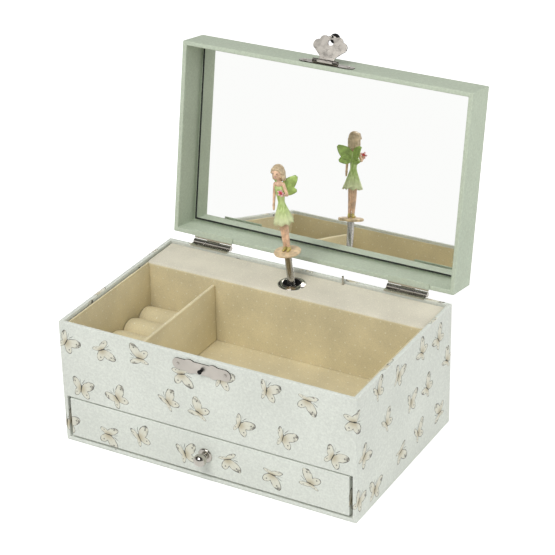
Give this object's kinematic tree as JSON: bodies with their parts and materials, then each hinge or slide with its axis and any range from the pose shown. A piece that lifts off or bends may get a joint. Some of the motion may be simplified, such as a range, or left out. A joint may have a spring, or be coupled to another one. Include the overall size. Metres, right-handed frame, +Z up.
{
  "type": "musical jewellery box",
  "caption": "Papered jewellery box with a mirrored hinged lid, hasp, lined tray with ring rolls, a drawer and a figure on a spring post turned by a wind-up musical movement.",
  "frame": {"origin": "middle of the case's underside, where it rests", "axes": "+X to the box's right seen from its front, -Y to the front, +Z up"},
  "size_m": [0.22, 0.2035, 0.2476],
  "materials": {
    "case_paper": "matt printed paper over board",
    "lid_paper": "matt plain paper over board",
    "raw_board": "plain board",
    "lining": "short velour",
    "nickel": "polished nickel plate",
    "mirror_glass": "silvered glass",
    "steel": "bright steel",
    "brass": "plain brass",
    "figure_enamel": "hand-painted moulded plastic",
    "wing_enamel": "painted moulded plastic",
    "ivory_plastic": "moulded plastic"
  },
  "bodies": {
    "case": {"base_board": "case_paper", "left_side_board": "case_paper", "right_side_board": "case_paper", "back_board": "case_paper", "front_board": "case_paper", "tray_floor_board": "raw_board", "tray_floor_pad": "lining", "tray_front_liner": "lining", "tray_side_liners": "lining", "tray_divider": "lining", "music_wall": "raw_board", "music_cover": "lining", "cover_cleats": "raw_board", "ring_rolls": "lining", "spindle_grommet": "nickel", "catch_plate": "nickel", "catch_nails": "nickel", "catch_stud": "nickel", "left_hinge_case_leaf": "nickel", "right_hinge_case_leaf": "nickel", "hinge_pins": "nickel", "hinge_case_screws": "nickel", "spring_barrel": "brass", "mainspring": "steel", "tone_comb": "steel", "movement_bedplate": "brass", "movement_screws": "steel"},
    "lid": {"lid_front_rail": "lid_paper", "lid_back_rail": "lid_paper", "lid_left_rail": "lid_paper", "lid_right_rail": "lid_paper", "lid_top_board": "lid_paper", "mirror": "mirror_glass", "left_hinge_lid_leaf": "nickel", "right_hinge_lid_leaf": "nickel", "hinge_lid_screws": "nickel", "hasp_base_plate": "nickel", "hasp_nails": "nickel", "hasp_pin": "nickel"},
    "hasp": {"hasp_leaf": "nickel", "hasp_knob": "nickel"},
    "drawer": {"drawer_front": "case_paper", "drawer_sides": "raw_board", "drawer_back": "raw_board", "drawer_bottom": "raw_board", "drawer_lining": "lining", "drawer_knob_rose": "nickel", "drawer_knob": "nickel", "knob_screw": "steel"},
    "spring_post": {"dancer_spring": "steel"},
    "figure": {"figurine_base": "ivory_plastic", "figurine": "figure_enamel", "figurine_wings": "wing_enamel"},
    "spindle": {"dancer_spindle": "brass"},
    "cylinder": {"pinned_cylinder": "brass"},
    "winder": {"main_wheel": "brass", "winding_key": "steel"},
    "brake": {"air_brake": "brass"},
    "stop": {"stop_pin": "steel"}
  },
  "joints": [
    {"name": "lid_hinge", "type": "hinge", "parent": "case", "child": "lid", "pos_m": [0, 0.07225, 0.0919], "axis": [1, 0, 0], "range_deg": [0, 99.5]},
    {"name": "hasp_hinge", "type": "hinge", "parent": "lid", "child": "hasp", "pos_m": [0, 0.10014, 0.23253], "axis": [1, 0, 0], "range_deg": [-42, 115]},
    {"name": "drawer_slide", "type": "slide", "parent": "case", "child": "drawer", "axis": [0, -1, 0], "range_m": [0, 0.09]},
    {"name": "figure_fold", "type": "hinge", "parent": "case", "child": "spring_post", "pos_m": [0, 0.0494, 0.0952], "axis": [1, 0, 0], "range_deg": [0, 90.5], "deforming": ["dancer_spring"]},
    {"name": "figure_spin", "type": "hinge", "parent": "spring_post", "child": "figure", "pos_m": [0, 0.0494, 0.086], "axis": [-0.1097, 0, 0.994], "continuous": true},
    {"name": "spindle_spin", "type": "hinge", "parent": "case", "child": "spindle", "pos_m": [0, 0.0494, 0.08], "axis": [0, 0, 1], "continuous": true},
    {"name": "cylinder_spin", "type": "hinge", "parent": "case", "child": "cylinder", "pos_m": [0, 0.0494, 0.0703], "axis": [1, 0, 0], "continuous": true},
    {"name": "winder_spin", "type": "hinge", "parent": "case", "child": "winder", "pos_m": [-0.032, 0.06, 0.0703], "axis": [0, 1, 0], "continuous": true},
    {"name": "brake_spin", "type": "hinge", "parent": "case", "child": "brake", "pos_m": [0.02, 0.0494, 0.0583], "axis": [1, 0, 0], "continuous": true},
    {"name": "stop_slide", "type": "slide", "parent": "case", "child": "stop", "axis": [0, 0, -1], "range_m": [0, 0.0027]}
  ],
  "couplings": [
    {"joint": "figure_fold", "follows": "lid_hinge", "ratio": 0.90452},
    {"joint": "stop_slide", "follows": "lid_hinge", "m_per_rad": 0.0014972},
    {"joint": "spindle_spin", "follows": "cylinder_spin", "ratio": -0.72727},
    {"joint": "figure_spin", "follows": "cylinder_spin", "ratio": -0.72727},
    {"joint": "winder_spin", "follows": "cylinder_spin", "ratio": -0.33333},
    {"joint": "brake_spin", "follows": "cylinder_spin", "ratio": -2}
  ]
}
